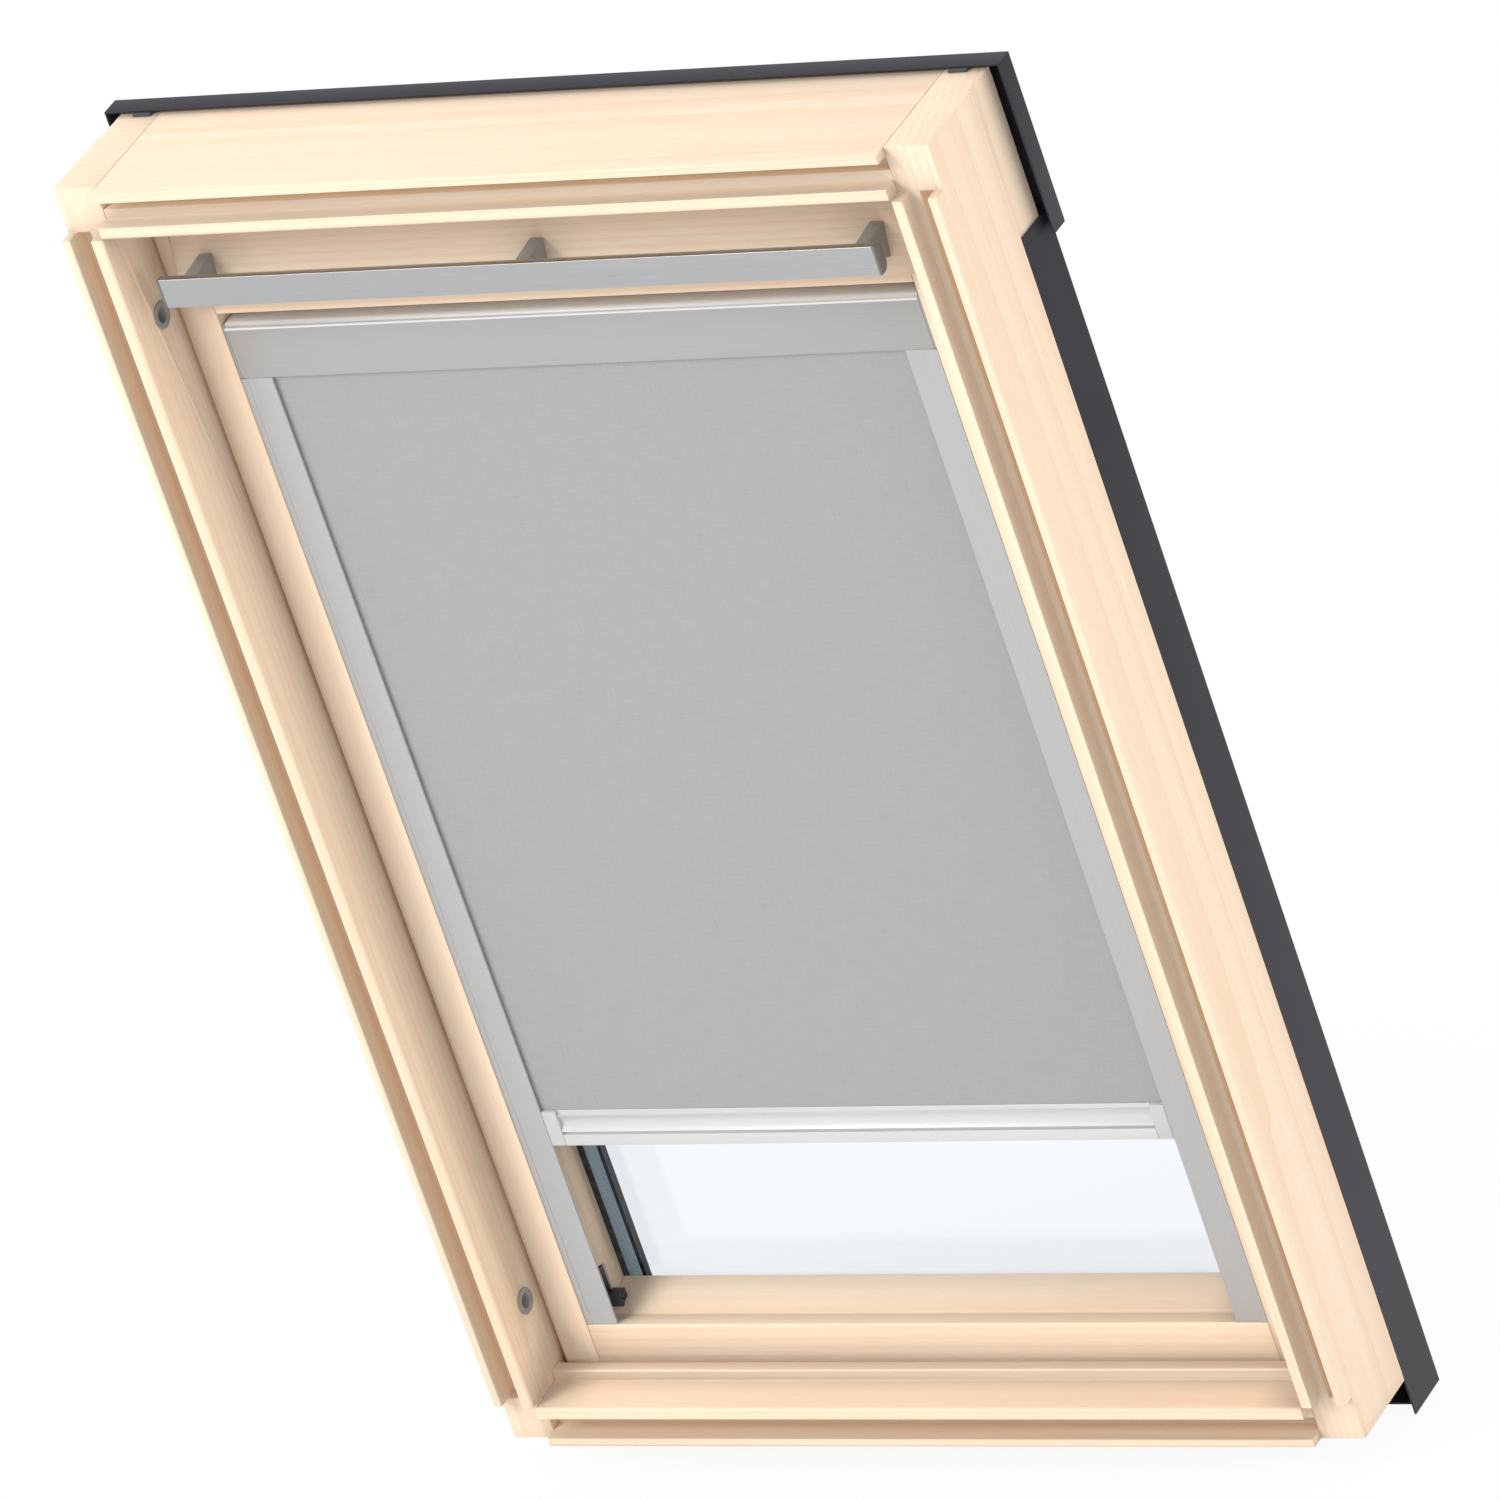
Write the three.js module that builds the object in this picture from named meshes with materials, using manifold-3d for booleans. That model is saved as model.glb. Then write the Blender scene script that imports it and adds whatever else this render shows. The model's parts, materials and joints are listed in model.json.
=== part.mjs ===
// Centre-pivot roof window with its blackout roller blind.
// Millimetres. +X to the right seen from the room, +Y out through the roof, +Z up the slope.
// The origin is on the underside of the sill, in the plane of the frame's four corner blocks.
import * as THREE from "three";
import { mergeVertices } from "three/addons/utils/BufferGeometryUtils.js";
import Module from "manifold-3d";

const wasm = await Module();
wasm.setup();

// Window
const windowWidth = 780;
const windowHeight = 1178;
const fit = 0.3;
const cut = 1;
const roundSteps = 24;
const edgeSteps = 4;

// Frame timber
const frameDepth = 116;
const frameWall = 39;
const lipWall = 8;
const lipReach = 13;
const lipEdge = 2.5;
const ridgeWall = 10.5;
const ridgeReach = 15;
const ridgeEdge = 3;
const grooveWidth = 12;
const grooveDepth = 10;
const railSeatWall = 37.5;
const stopRise = 10;
const stopSetback = 14.5;
const stopWidth = 11.7;
const stopEdge = 1.2;
const coverRebate = 2.2;
const coverRebateLength = 36.7;

// Sash timber
const sashGap = 4;
const sashSweepGap = 5;
const sashDepth = 77;
const sashEdge = 7;
const stileFace = 34.5;
const stileLedge = 15;
const stileLedgeWidth = 10.5;
const stileLip = 56;
const glassSeatDepth = 41;
const glassRebate = 14.5;
const sillRailFace = 41;
const sillRailLip = 61;
const sillRailRebate = 31;
const railEdge = 1;
const headRailHeight = 97.5;
const headRailLip = 8;
const headRailSetback = 23;
const headRailDrop = 26;
const headRailSeatWall = 3.5;

// Glass unit
const glassThickness = 4;
const glassCavity = 20;
const gasketThickness = 1.4;
const gasketShow = 5;
const gasketGap = 2;
const spacerShow = 1;
const spacerWall = 9;
const spacerSeatGap = 4.5;

// Outside covers
const sheet = 1.6;
const sideCoverReach = 11;
const sideCoverFlange = 37;
const sideCoverShort = 131;
const coverDrop = 33;
const hoodMargin = 10;
const hoodSetback = 6;
const hoodRise = 4;
const hoodOverlap = 14;
const hoodApron = 86;
const hoodClipWidth = 16;
const hoodClipReach = 3;
const hoodClipInset = 17;
const sillCoverSetback = 23;
const sillCoverDrop = 1.5;
const sashCoverReveal = 2;
const sashCoverSeatLap = 6;
const sashCoverMargin = 0.5;

// Pivot hinge
const pivotSetback = 31;
const pivotHeightShare = 0.5;
const hingePlateLength = 120;
const hingePlateWidth = 24;
const hingePlateThickness = 2.7;
const pivotPinRadius = 5;
const pivotPinReach = 12;

// Seals and lock
const sealWidth = 6;
const sealSetback = 12;
const lockHalf = 42;
const lockDepth = 26;
const lockHeight = 18;
const strikerThickness = 1.7;

// Bolt and its bushes
const bushLowerRise = 118;
const bushUpperDrop = 130;
const bushSetback = 15;
const bushFlangeRadius = 11;
const bushSleeveRadius = 8.8;
const bushBoreRadius = 6.2;
const bushDepth = 15;
const bushFlange = 1.2;
const boltSetback = 9.5;
const boltDrop = 8.2;
const boltRadius = 3;
const boltLength = 54;
const boltTravel = 9;
const boltHandleWidth = 3;
const boltHandleDepth = 7;
const boltHandleRise = 28;
const boltPocketGap = 1;
const boltHousingWidth = 12;
const boltHousingDepth = 9.5;
const boltHousingRise = 4.6;
const boltHousingEdge = 2;
const boltHousingInset = 5.5;

// Ventilation flap and control bar
const flapMargin = 17;
const flapSideGap = 1;
const flapTopGap = 2.5;
const flapRound = 5;
const flapBendDrop = 26;
const flapFootReach = 11;
const flapHeadSetback = 0.5;
const flapBackGap = 5;
const flapPivotSetback = 7;
const flapPinRadius = 2.5;
const flapPinReach = 4;
const barMargin = 10;
const barDrop = 35;
const barHeight = 25;
const barGap = 25.7;
const barDepth = 11.3;
const barRound = 7;
const barCap = 2;
const bracketWidth = 12;
const bracketInset = 20;
const bracketRoot = 11;
const bracketTopInset = 4;
const bracketFoot = 28;
const filterThickness = 4;
const filterHeight = 52;
const filterMargin = 35;
const filterRise = 15;

// Blind
const blindSetback = 1;
const headboxGap = 10.2;
const headboxHeight = 49.3;
const headboxDepth = 36;
const headboxWall = 1.4;
const headboxEndWall = 1.5;
const headboxEndGap = 0.5;
const headboxRound = 5;
const headboxCoverDepth = 20;
const fabricSlot = 3;
const fabricThickness = 0.4;
const fabricGrip = 14;
const rollerSetback = 17;
const rollerRise = 23.5;
const rollerTubeRadius = 11;
const rollerTubeWall = 1.5;
const rollRadius = 12.7;
const rollerEndInset = 27;
const rollerBossLength = 38;
const springLength = 210;
const channelWidth = 28;
const channelBodyWidth = 17.5;
const channelGap = 0.5;
const channelWall = 1.2;
const channelReturn = 2.2;
const channelSlitGap = 1;
const channelRib = 5;
const channelRibHeight = 0.6;
const bottomBarBottom = 257;
const bottomBarHeight = 32;
const bottomBarDepth = 10;
const bottomBarLipHeight = 10;
const bottomBarGroove = 3;
const bottomBarGrooveDepth = 3;
const bottomBarTopHeight = 3.5;
const bottomBarCove = 3.5;
const bottomBarCap = 13;
const curveSteps = 8;
const glideHeight = 24;

// Places worked out from the sizes above: the frame and the sash
const halfWidth = windowWidth / 2;
const jambFaceX = halfWidth - frameWall;
const ridgeStart = frameWall - ridgeWall;
const cornerBlock = frameWall + fit;
const coverRebateStart = frameDepth - coverRebateLength;
const sashFront = frameDepth - sashDepth;
const stopFront = sashFront - stopSetback;
const stopBack = stopFront + stopWidth;
const stopTop = frameWall + stopRise;
const sashHalf = jambFaceX - sashGap;
const stileInnerX = sashHalf - stileFace;
const stileLipX = sashHalf - stileLip;
const stileSeatX = stileLipX + glassRebate;
const ledgeY = sashFront + stileLedge;
const glassSeat = sashFront + glassSeatDepth;
const sashBottom = railSeatWall + sashSweepGap;
const sashTop = windowHeight - sashBottom;
const railInnerZ = sashBottom + sillRailFace;
const railLipZ = sashBottom + sillRailLip;
const railSeatZ = railLipZ - sillRailRebate;
const railSlope = (railLipZ - railInnerZ) / (glassSeat - ledgeY);
const headRailFace = sashFront + headRailSetback;
const headRailBottom = sashTop - headRailHeight;
const headLipTop = headRailBottom + headRailLip;
const headLipZ = headRailBottom - headRailDrop;
const headRailSeat = headLipZ + glassRebate;
const pivotY = sashFront + pivotSetback;
const pivotZ = windowHeight * pivotHeightShare;

// Places of the glass and the covers
const gasketFront = glassSeat + fit;
const paneFront = gasketFront + gasketThickness + fit;
const cavityFront = paneFront + glassThickness;
const outerPaneFront = cavityFront + glassCavity;
const outerPaneBack = outerPaneFront + glassThickness;
const paneHalf = stileSeatX - fit;
const paneBottom = railSeatZ + fit;
const paneTop = headRailSeat - fit;
const sideCoverBack = frameDepth + sideCoverReach;
const sideCoverTop = windowHeight - sideCoverShort;

// Places of the flap, the bar and the bolt
const flapHalf = sashHalf - flapMargin;
const flapNotchX = flapHalf + flapSideGap;
const flapPivotY = sashFront + flapPivotSetback;
const flapPivotZ = headLipTop + fit + flapRound;
const flapTop = sashTop - flapTopGap;
const flapBend = flapTop - flapBendDrop;
const flapFootY = sashFront - flapFootReach;
const flapHeadY = sashFront + flapHeadSetback;
const flapBackY = headRailFace - flapBackGap;
const flapLean = (flapHeadY - flapFootY) / (flapBend - flapPivotZ);
const barHalf = flapHalf - barMargin;
const barTop = flapTop - barDrop;
const barBottom = barTop - barHeight;
const barBackY = flapFootY - barGap;
const barFrontY = barBackY - barDepth;
const boltY = ledgeY + boltSetback;
const boltZ = railLipZ - boltDrop;
const bushY = sashFront - bushSetback;
const bushHeights = { lower: bushLowerRise, upper: windowHeight - bushUpperDrop };

// Places of the blind
const blindFront = sashFront + blindSetback;
const headboxTop = headRailBottom - headboxGap;
const headboxBottom = headboxTop - headboxHeight;
const headboxBackY = blindFront + headboxDepth;
const headboxHalf = stileInnerX - headboxEndGap;
const rollerY = blindFront + rollerSetback;
const rollerZ = headboxBottom + rollerRise;
const rollerHalf = headboxHalf - rollerEndInset;
const rollerBossRadius = rollerTubeRadius - rollerTubeWall - fit;
const fabricBackY = rollerY - rollRadius - fit;
const fabricFrontY = fabricBackY - fabricThickness;
const channelOuterX = stileInnerX - channelGap;
const channelInnerX = channelOuterX - channelWidth;
const channelBodyX = channelOuterX - channelBodyWidth;
const channelBottom = railInnerZ + fit;
const channelTop = headboxBottom - fit;
const bottomBarTop = bottomBarBottom + bottomBarHeight;

// Colours
const paint = {
  pine: { color: 0xf3d7b4, roughness: 0.55, metalness: 0 },
  cladding: { color: 0x434248, roughness: 0.45, metalness: 0.35 },
  silver: { color: 0xbcbdbe, roughness: 0.35, metalness: 0.7 },
  blindSilver: { color: 0xc6c6c6, roughness: 0.45, metalness: 0.5 },
  greyPlastic: { color: 0x9a9b9b, roughness: 0.5, metalness: 0 },
  darkPlastic: { color: 0x4a4b4c, roughness: 0.5, metalness: 0 },
  rubber: { color: 0x2b2c2e, roughness: 0.8, metalness: 0 },
  foam: { color: 0x55565a, roughness: 0.95, metalness: 0 },
  steel: { color: 0x8f9294, roughness: 0.35, metalness: 0.9 },
  fabric: { color: 0xb2b2b2, roughness: 0.9, metalness: 0 },
  glass: { color: 0xdfeaf2, roughness: 0.05, metalness: 0, transparent: true, opacity: 0.35 },
};

const model = new THREE.Group();

// Solids and meshes

function solidOf(geometry) {
  const bare = new THREE.BufferGeometry();
  bare.setAttribute("position", geometry.getAttribute("position"));
  if (geometry.index) bare.setIndex(geometry.index);
  const merged = mergeVertices(bare, fit / 1000);
  return new wasm.Manifold(
    new wasm.Mesh({
      numProp: 3,
      vertProperties: merged.getAttribute("position").array,
      triVerts: new Uint32Array(merged.index.array),
    }),
  );
}

function addPart(name, solid, finish, parent = model) {
  const shape = solid.getMesh();
  const geometry = new THREE.BufferGeometry();
  geometry.setAttribute("position", new THREE.BufferAttribute(shape.vertProperties, 3));
  geometry.setIndex(new THREE.BufferAttribute(shape.triVerts, 1));
  const drawn = geometry.toNonIndexed();
  drawn.computeVertexNormals();
  const mesh = new THREE.Mesh(drawn, new THREE.MeshStandardMaterial(paint[finish]));
  mesh.name = name;
  parent.add(mesh);
  return mesh;
}

// A block between two corners.
function block(low, high) {
  const size = high.map((value, axis) => value - low[axis]);
  const geometry = new THREE.BoxGeometry(...size);
  geometry.translate(...high.map((value, axis) => (value + low[axis]) / 2));
  return solidOf(geometry);
}

// A round bar along X, between x0 and x1.
function roundAlongX(x0, x1, y, z, radius) {
  const geometry = new THREE.CylinderGeometry(radius, radius, Math.abs(x1 - x0), roundSteps);
  geometry.rotateZ(Math.PI / 2);
  geometry.translate((x0 + x1) / 2, y, z);
  return solidOf(geometry);
}

// A prism with an outline of [distance in from the window's edge, y], run along one side of the window.
const sides = {
  sill: { across: [0, 0, 1], along: [1, 0, 0], edge: [0, 0, 0] },
  head: { across: [0, 0, -1], along: [1, 0, 0], edge: [0, 0, windowHeight] },
  left: { across: [1, 0, 0], along: [0, 0, 1], edge: [-halfWidth, 0, 0] },
  right: { across: [-1, 0, 0], along: [0, 0, 1], edge: [halfWidth, 0, 0] },
};

function prism(side, outline, from, to) {
  const { across, along, edge } = sides[side];
  const shape = new THREE.Shape(outline.map(([d, y]) => new THREE.Vector2(d, y)));
  const geometry = new THREE.ExtrudeGeometry(shape, { depth: to - from, bevelEnabled: false });
  geometry.translate(0, 0, from);
  const points = geometry.getAttribute("position");
  const basis = new THREE.Matrix4().makeBasis(
    new THREE.Vector3(...across),
    new THREE.Vector3(0, 1, 0),
    new THREE.Vector3(...along),
  );
  basis.setPosition(...edge);
  geometry.applyMatrix4(basis);
  if (basis.determinant() < 0) {
    for (let i = 0; i < points.count; i += 3) {
      const a = new THREE.Vector3().fromBufferAttribute(points, i + 1);
      const b = new THREE.Vector3().fromBufferAttribute(points, i + 2);
      points.setXYZ(i + 1, b.x, b.y, b.z);
      points.setXYZ(i + 2, a.x, a.y, a.z);
    }
  }
  return solidOf(geometry);
}

// A prism along X with outline points [y, z].
function alongX(outline, from, to) {
  return prism("sill", outline.map(([y, z]) => [z, y]), from, to);
}

// Points of a quarter round from one direction to the next, about a centre.
function arc(centre, radius, fromAngle, toAngle, steps = edgeSteps) {
  const points = [];
  for (let i = 0; i <= steps; i++) {
    const angle = fromAngle + ((toAngle - fromAngle) * i) / steps;
    points.push([centre[0] + radius * Math.cos(angle), centre[1] + radius * Math.sin(angle)]);
  }
  return points;
}

// Points of a front that is hollow towards the room, from one height to another.
function cove(y, depth, fromZ, toZ) {
  const points = [];
  for (let i = 0; i <= curveSteps; i++) {
    const share = (i / curveSteps) * 2 - 1;
    points.push([y + depth * (1 - share * share), fromZ + ((toZ - fromZ) * (1 + share)) / 2]);
  }
  return points;
}

// The frame's members: a body with a lip and a ridge, and a grooved slot for the inner lining between them.
// The jambs run the full height, and the sill and the head stand between them.

function frameMember(side, length, body) {
  const level = side === "sill" || side === "head";
  const from = level ? -length / 2 : 0;
  const to = from + length;
  const mouldFrom = from + cornerBlock;
  const mouldTo = to - cornerBlock;
  const timber = level ? prism(side, body, mouldFrom, mouldTo) : prism(side, body, from, to);
  const overrun = level ? cut : 0;
  const groove = [
    [lipWall, -cut],
    [lipWall + grooveWidth, -cut],
    [lipWall + grooveWidth, grooveDepth],
    [lipWall, grooveDepth],
  ];
  const lip = [
    [0, cut],
    ...arc([lipEdge, lipEdge - lipReach], lipEdge, Math.PI, Math.PI * 1.5),
    ...arc([lipWall - lipEdge / 2, lipEdge / 2 - lipReach], lipEdge / 2, Math.PI * 1.5, Math.PI * 2),
    [lipWall, cut],
  ];
  const ridge = [
    [ridgeStart, cut],
    [ridgeStart, -ridgeReach],
    ...arc([frameWall - ridgeEdge, ridgeEdge - ridgeReach], ridgeEdge, Math.PI * 1.5, Math.PI * 2),
    [frameWall, cut],
  ];
  return timber
    .subtract(prism(side, groove, mouldFrom - overrun, mouldTo + overrun))
    .add(prism(side, lip, mouldFrom, mouldTo))
    .add(prism(side, ridge, mouldFrom, mouldTo));
}

function frameBody(rebated, inner) {
  const outer = rebated
    ? [[0, coverRebateStart], [coverRebate, coverRebateStart], [coverRebate, frameDepth]]
    : [[0, frameDepth]];
  return [[0, 0], ...inner, ...outer.reverse()];
}

function hingePocket(x0, x1) {
  return block(
    [Math.min(x0, x1), pivotY - hingePlateWidth / 2 - fit, pivotZ - hingePlateLength / 2 - fit],
    [Math.max(x0, x1), pivotY + hingePlateWidth / 2 + fit, pivotZ + hingePlateLength / 2 + fit],
  );
}

function makeFrame() {
  const sillInner = [
    [frameWall, 0],
    [frameWall, stopFront],
    [stopTop - stopEdge, stopFront],
    [stopTop, stopFront + stopEdge],
    [stopTop, stopBack],
    [railSeatWall, stopBack],
    [railSeatWall, frameDepth],
  ];
  const headInner = [
    [frameWall, 0],
    [frameWall, stopBack],
    [railSeatWall, stopBack],
    [railSeatWall, frameDepth],
  ];
  const jambInner = [
    [frameWall, 0],
    [frameWall, frameDepth],
  ];
  const sill = frameMember("sill", windowWidth, frameBody(false, sillInner));
  const head = frameMember("head", windowWidth, frameBody(false, headInner));
  addPart("frame_sill", sill, "pine");
  addPart("frame_head", head, "pine");
  for (const [side, sign] of [["left", -1], ["right", 1]]) {
    const pinEnd = jambFaceX + pivotPinReach;
    const pocketEnd = jambFaceX + hingePlateThickness + fit;
    let jamb = frameMember(side, windowHeight, frameBody(true, jambInner))
      .subtract(hingePocket(sign * (jambFaceX - cut), sign * pocketEnd))
      .subtract(roundAlongX(sign * jambFaceX, sign * pinEnd, pivotY, pivotZ, pivotPinRadius + fit));
    if (side === "left") {
      for (const z of Object.values(bushHeights)) {
        const holeEnd = jambFaceX + bushDepth + fit;
        jamb = jamb.subtract(
          roundAlongX(-jambFaceX + cut, -holeEnd, bushY, z, bushSleeveRadius + fit),
        );
      }
    }
    addPart("frame_jamb_" + side, jamb, "pine");
  }
}

function makeBushes() {
  for (const [place, z] of Object.entries(bushHeights)) {
    const boreEnd = -jambFaceX - bushDepth + bushFlange;
    const bore = roundAlongX(bushFlange + cut - jambFaceX, boreEnd, bushY, z, bushBoreRadius);
    const bush = roundAlongX(bushFlange - jambFaceX, -jambFaceX, bushY, z, bushFlangeRadius)
      .add(roundAlongX(-jambFaceX, -jambFaceX - bushDepth, bushY, z, bushSleeveRadius))
      .subtract(bore);
    addPart("bolt_bush_" + place, bush, "greyPlastic");
  }
}

// Seals along the sill and the head, and the lock's striker.
function makeFrameTrim() {
  const sealFront = pivotY - sealSetback;
  const sealBack = sealFront + sealWidth;
  const sealHeight = sashSweepGap / 2;
  const sillSealTop = railSeatWall + sealHeight;
  const sillSeal = block([-sashHalf, sealFront, railSeatWall], [sashHalf, sealBack, sillSealTop]);
  addPart("sill_seal", sillSeal, "rubber");
  const headFace = windowHeight - railSeatWall;
  const headSeal = block([-sashHalf, sealFront, headFace - sealHeight], [sashHalf, sealBack, headFace]);
  addPart("head_seal", headSeal, "rubber");
  const striker = block(
    [-lockHalf, pivotY + fit, headFace - strikerThickness],
    [lockHalf, pivotY + lockDepth, headFace],
  );
  const slotHalf = lockHalf / 2;
  const slotInset = lockDepth / 3;
  const strikerSlot = block(
    [-slotHalf, pivotY + slotInset, headFace - strikerThickness - cut],
    [slotHalf, pivotY + lockDepth - slotInset, headFace + cut],
  );
  addPart("lock_striker", striker.subtract(strikerSlot), "steel");
}

// Dark sheet covers on the outside of the frame.

function makeFrameCovers() {
  const flangeInner = halfWidth - sideCoverFlange;
  const legInner = halfWidth - sheet;
  for (const side of ["left", "right"]) {
    const outline = [
      [0, coverRebateStart + fit],
      [sheet, coverRebateStart + fit],
      [sheet, sideCoverBack - sheet],
      [sideCoverFlange, sideCoverBack - sheet],
      [sideCoverFlange, sideCoverBack],
      [0, sideCoverBack],
    ];
    addPart("side_cover_" + side, prism(side, outline, -coverDrop, sideCoverTop), "cladding");
  }
  const sillBack = sideCoverBack - sheet - fit;
  const sillHalf = legInner - fit;
  const sillCoverFront = frameDepth - sillCoverSetback;
  const sillCoverTop = railSeatWall - sillCoverDrop;
  const sillOutline = [
    [sillCoverFront, -coverDrop],
    [sillBack, -coverDrop],
    [sillBack, sillCoverTop],
    [sillBack - sheet, sillCoverTop],
    [sillBack - sheet, sheet - coverDrop],
    [sillCoverFront, sheet - coverDrop],
  ];
  addPart("sill_cover", alongX(sillOutline, -sillHalf, sillHalf), "cladding");

  const hoodHalf = halfWidth + hoodMargin;
  const hoodFront = frameDepth - hoodSetback;
  const hoodSideBottom = sideCoverTop - hoodOverlap;
  const hoodTop = windowHeight + hoodRise;
  const hoodInnerBack = sideCoverBack + fit;
  const hoodBack = hoodInnerBack + sheet;
  const apronBottom = hoodTop - hoodApron;
  const shellOuter = block([-hoodHalf, hoodFront, hoodSideBottom], [hoodHalf, hoodBack, hoodTop]);
  const shellInner = block(
    [sheet - hoodHalf, hoodFront - cut, hoodSideBottom - cut],
    [hoodHalf - sheet, hoodInnerBack, hoodTop - sheet],
  );
  const daylight = block(
    [-flangeInner, hoodInnerBack - cut, hoodSideBottom - cut],
    [flangeInner, hoodBack + cut, apronBottom],
  );
  addPart("top_hood", shellOuter.subtract(shellInner).subtract(daylight), "cladding");
  for (const [side, sign] of [["left", -1], ["right", 1]]) {
    const x = sign * (halfWidth - hoodClipInset - hoodClipWidth / 2);
    const clip = block(
      [x - hoodClipWidth / 2, hoodFront - hoodClipReach, windowHeight],
      [x + hoodClipWidth / 2, hoodFront + hoodClipWidth / 2, hoodTop - sheet],
    );
    addPart("hood_clip_" + side, clip, "darkPlastic");
  }
}

// The sash: stiles run full height, rails sit between them and follow the stiles' moulded inner side.

// Outline of a stile as [distance from the window's side, y], its inner side grown by a clearance.
function stileOutline(clearance = 0) {
  const outer = halfWidth - sashHalf;
  const face = halfWidth - stileInnerX + clearance;
  const ledge = face + stileLedgeWidth;
  const lip = halfWidth - stileLipX + clearance;
  const seat = halfWidth - stileSeatX + clearance;
  return [
    [outer, frameDepth],
    ...arc([outer + sashEdge, sashFront + sashEdge], sashEdge, Math.PI, Math.PI * 1.5),
    [face, sashFront],
    [face, ledgeY - clearance],
    [ledge, ledgeY - clearance],
    [lip, glassSeat - clearance],
    [lip, glassSeat + clearance],
    [seat, glassSeat + clearance],
    [seat, frameDepth],
  ];
}

function makeStiles() {
  const notchBottom = headLipTop + fit;
  const flapNotch = block(
    [-flapNotchX, sashFront - cut, notchBottom],
    [flapNotchX, headRailFace - fit, sashTop + cut],
  );
  const headboxNotch = block(
    [-stileInnerX, sashFront - cut, headboxBottom - fit],
    [stileInnerX, headboxBackY + fit, notchBottom],
  );
  for (const [side, sign] of [["left", -1], ["right", 1]]) {
    const pocketEnd = sashHalf - hingePlateThickness - fit;
    const pinEnd = flapNotchX + flapPinReach;
    const pinHole = roundAlongX(
      sign * (flapNotchX - cut),
      sign * pinEnd,
      flapPivotY,
      flapPivotZ,
      flapPinRadius + fit,
    );
    let stile = prism(side, stileOutline(), sashBottom, sashTop)
      .subtract(flapNotch)
      .subtract(headboxNotch)
      .subtract(hingePocket(sign * (sashHalf + cut), sign * pocketEnd))
      .subtract(pinHole);
    if (side === "left") {
      stile = stile
        .subtract(roundAlongX(-sashHalf - cut, -stileLipX, boltY, boltZ, boltRadius + fit))
        .subtract(boltPocket());
    }
    addPart("sash_stile_" + side, stile, "pine");
  }
}

// Room in the stile for the bolt's handle to slide.
function boltPocket() {
  const stileAtBolt = -stileInnerX + stileLedgeWidth;
  const halfDepth = boltHandleDepth / 2 + boltPocketGap;
  return block(
    [stileAtBolt - boltTravel, boltY - halfDepth, boltZ - boltRadius - boltPocketGap],
    [-stileLipX, boltY + halfDepth, boltZ + boltHandleRise + boltPocketGap],
  );
}

function makeRails() {
  const stileLeft = prism("left", stileOutline(fit), sashBottom - cut, sashTop + cut);
  const stileRight = prism("right", stileOutline(fit), sashBottom - cut, sashTop + cut);
  const bottomOutline = [
    [frameDepth, sashBottom],
    [frameDepth, railSeatZ],
    [glassSeat, railSeatZ],
    [glassSeat, railLipZ],
    [ledgeY, railInnerZ],
    [sashFront + railEdge, railInnerZ],
    [sashFront, railInnerZ - railEdge],
    [sashFront, sashBottom],
  ];
  const bottomRail = alongX(bottomOutline, -stileInnerX, stileInnerX)
    .subtract(stileLeft)
    .subtract(stileRight);
  addPart("sash_bottom_rail", bottomRail, "pine");

  const topOutline = [
    [sashFront, headRailBottom],
    [glassSeat - headRailSeatWall, headRailBottom],
    [glassSeat - headRailSeatWall, headLipZ],
    [glassSeat, headLipZ],
    [glassSeat, headRailSeat],
    [frameDepth, headRailSeat],
    [frameDepth, sashTop],
    [headRailFace, sashTop],
    [headRailFace, headLipTop],
    [sashFront, headLipTop],
  ];
  const lockRecess = block(
    [-lockHalf - fit, pivotY, sashTop - lockHeight - fit],
    [lockHalf + fit, pivotY + lockDepth + fit, sashTop + cut],
  );
  const topRail = alongX(topOutline, -stileInnerX, stileInnerX)
    .subtract(stileLeft)
    .subtract(stileRight)
    .subtract(lockRecess);
  addPart("sash_top_rail", topRail, "pine");

  const lockCase = block(
    [-lockHalf, pivotY + fit, sashTop - lockHeight],
    [lockHalf, pivotY + lockDepth, sashTop],
  );
  const mouthHalf = lockHalf / 2;
  const mouthInset = lockDepth / 3;
  const mouth = block(
    [-mouthHalf, pivotY + mouthInset, sashTop - lockHeight / 2],
    [mouthHalf, pivotY + lockDepth - mouthInset, sashTop + cut],
  );
  addPart("lock_case", lockCase.subtract(mouth), "steel");
  const filterHalf = flapHalf - filterMargin;
  const filterBottom = flapPivotZ + filterRise;
  const filter = block(
    [-filterHalf, headRailFace - filterThickness, filterBottom],
    [filterHalf, headRailFace, filterBottom + filterHeight],
  );
  addPart("vent_filter", filter, "foam");
}

// Glass unit: gasket, two panes and the spacer between them.

function ring(front, back, halfX, bottom, top, wallX, wallBottom, wallTop) {
  const outer = block([-halfX, front, bottom], [halfX, back, top]);
  const hole = block(
    [wallX - halfX, front - cut, bottom + wallBottom],
    [halfX - wallX, back + cut, top - wallTop],
  );
  return outer.subtract(hole);
}

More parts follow.
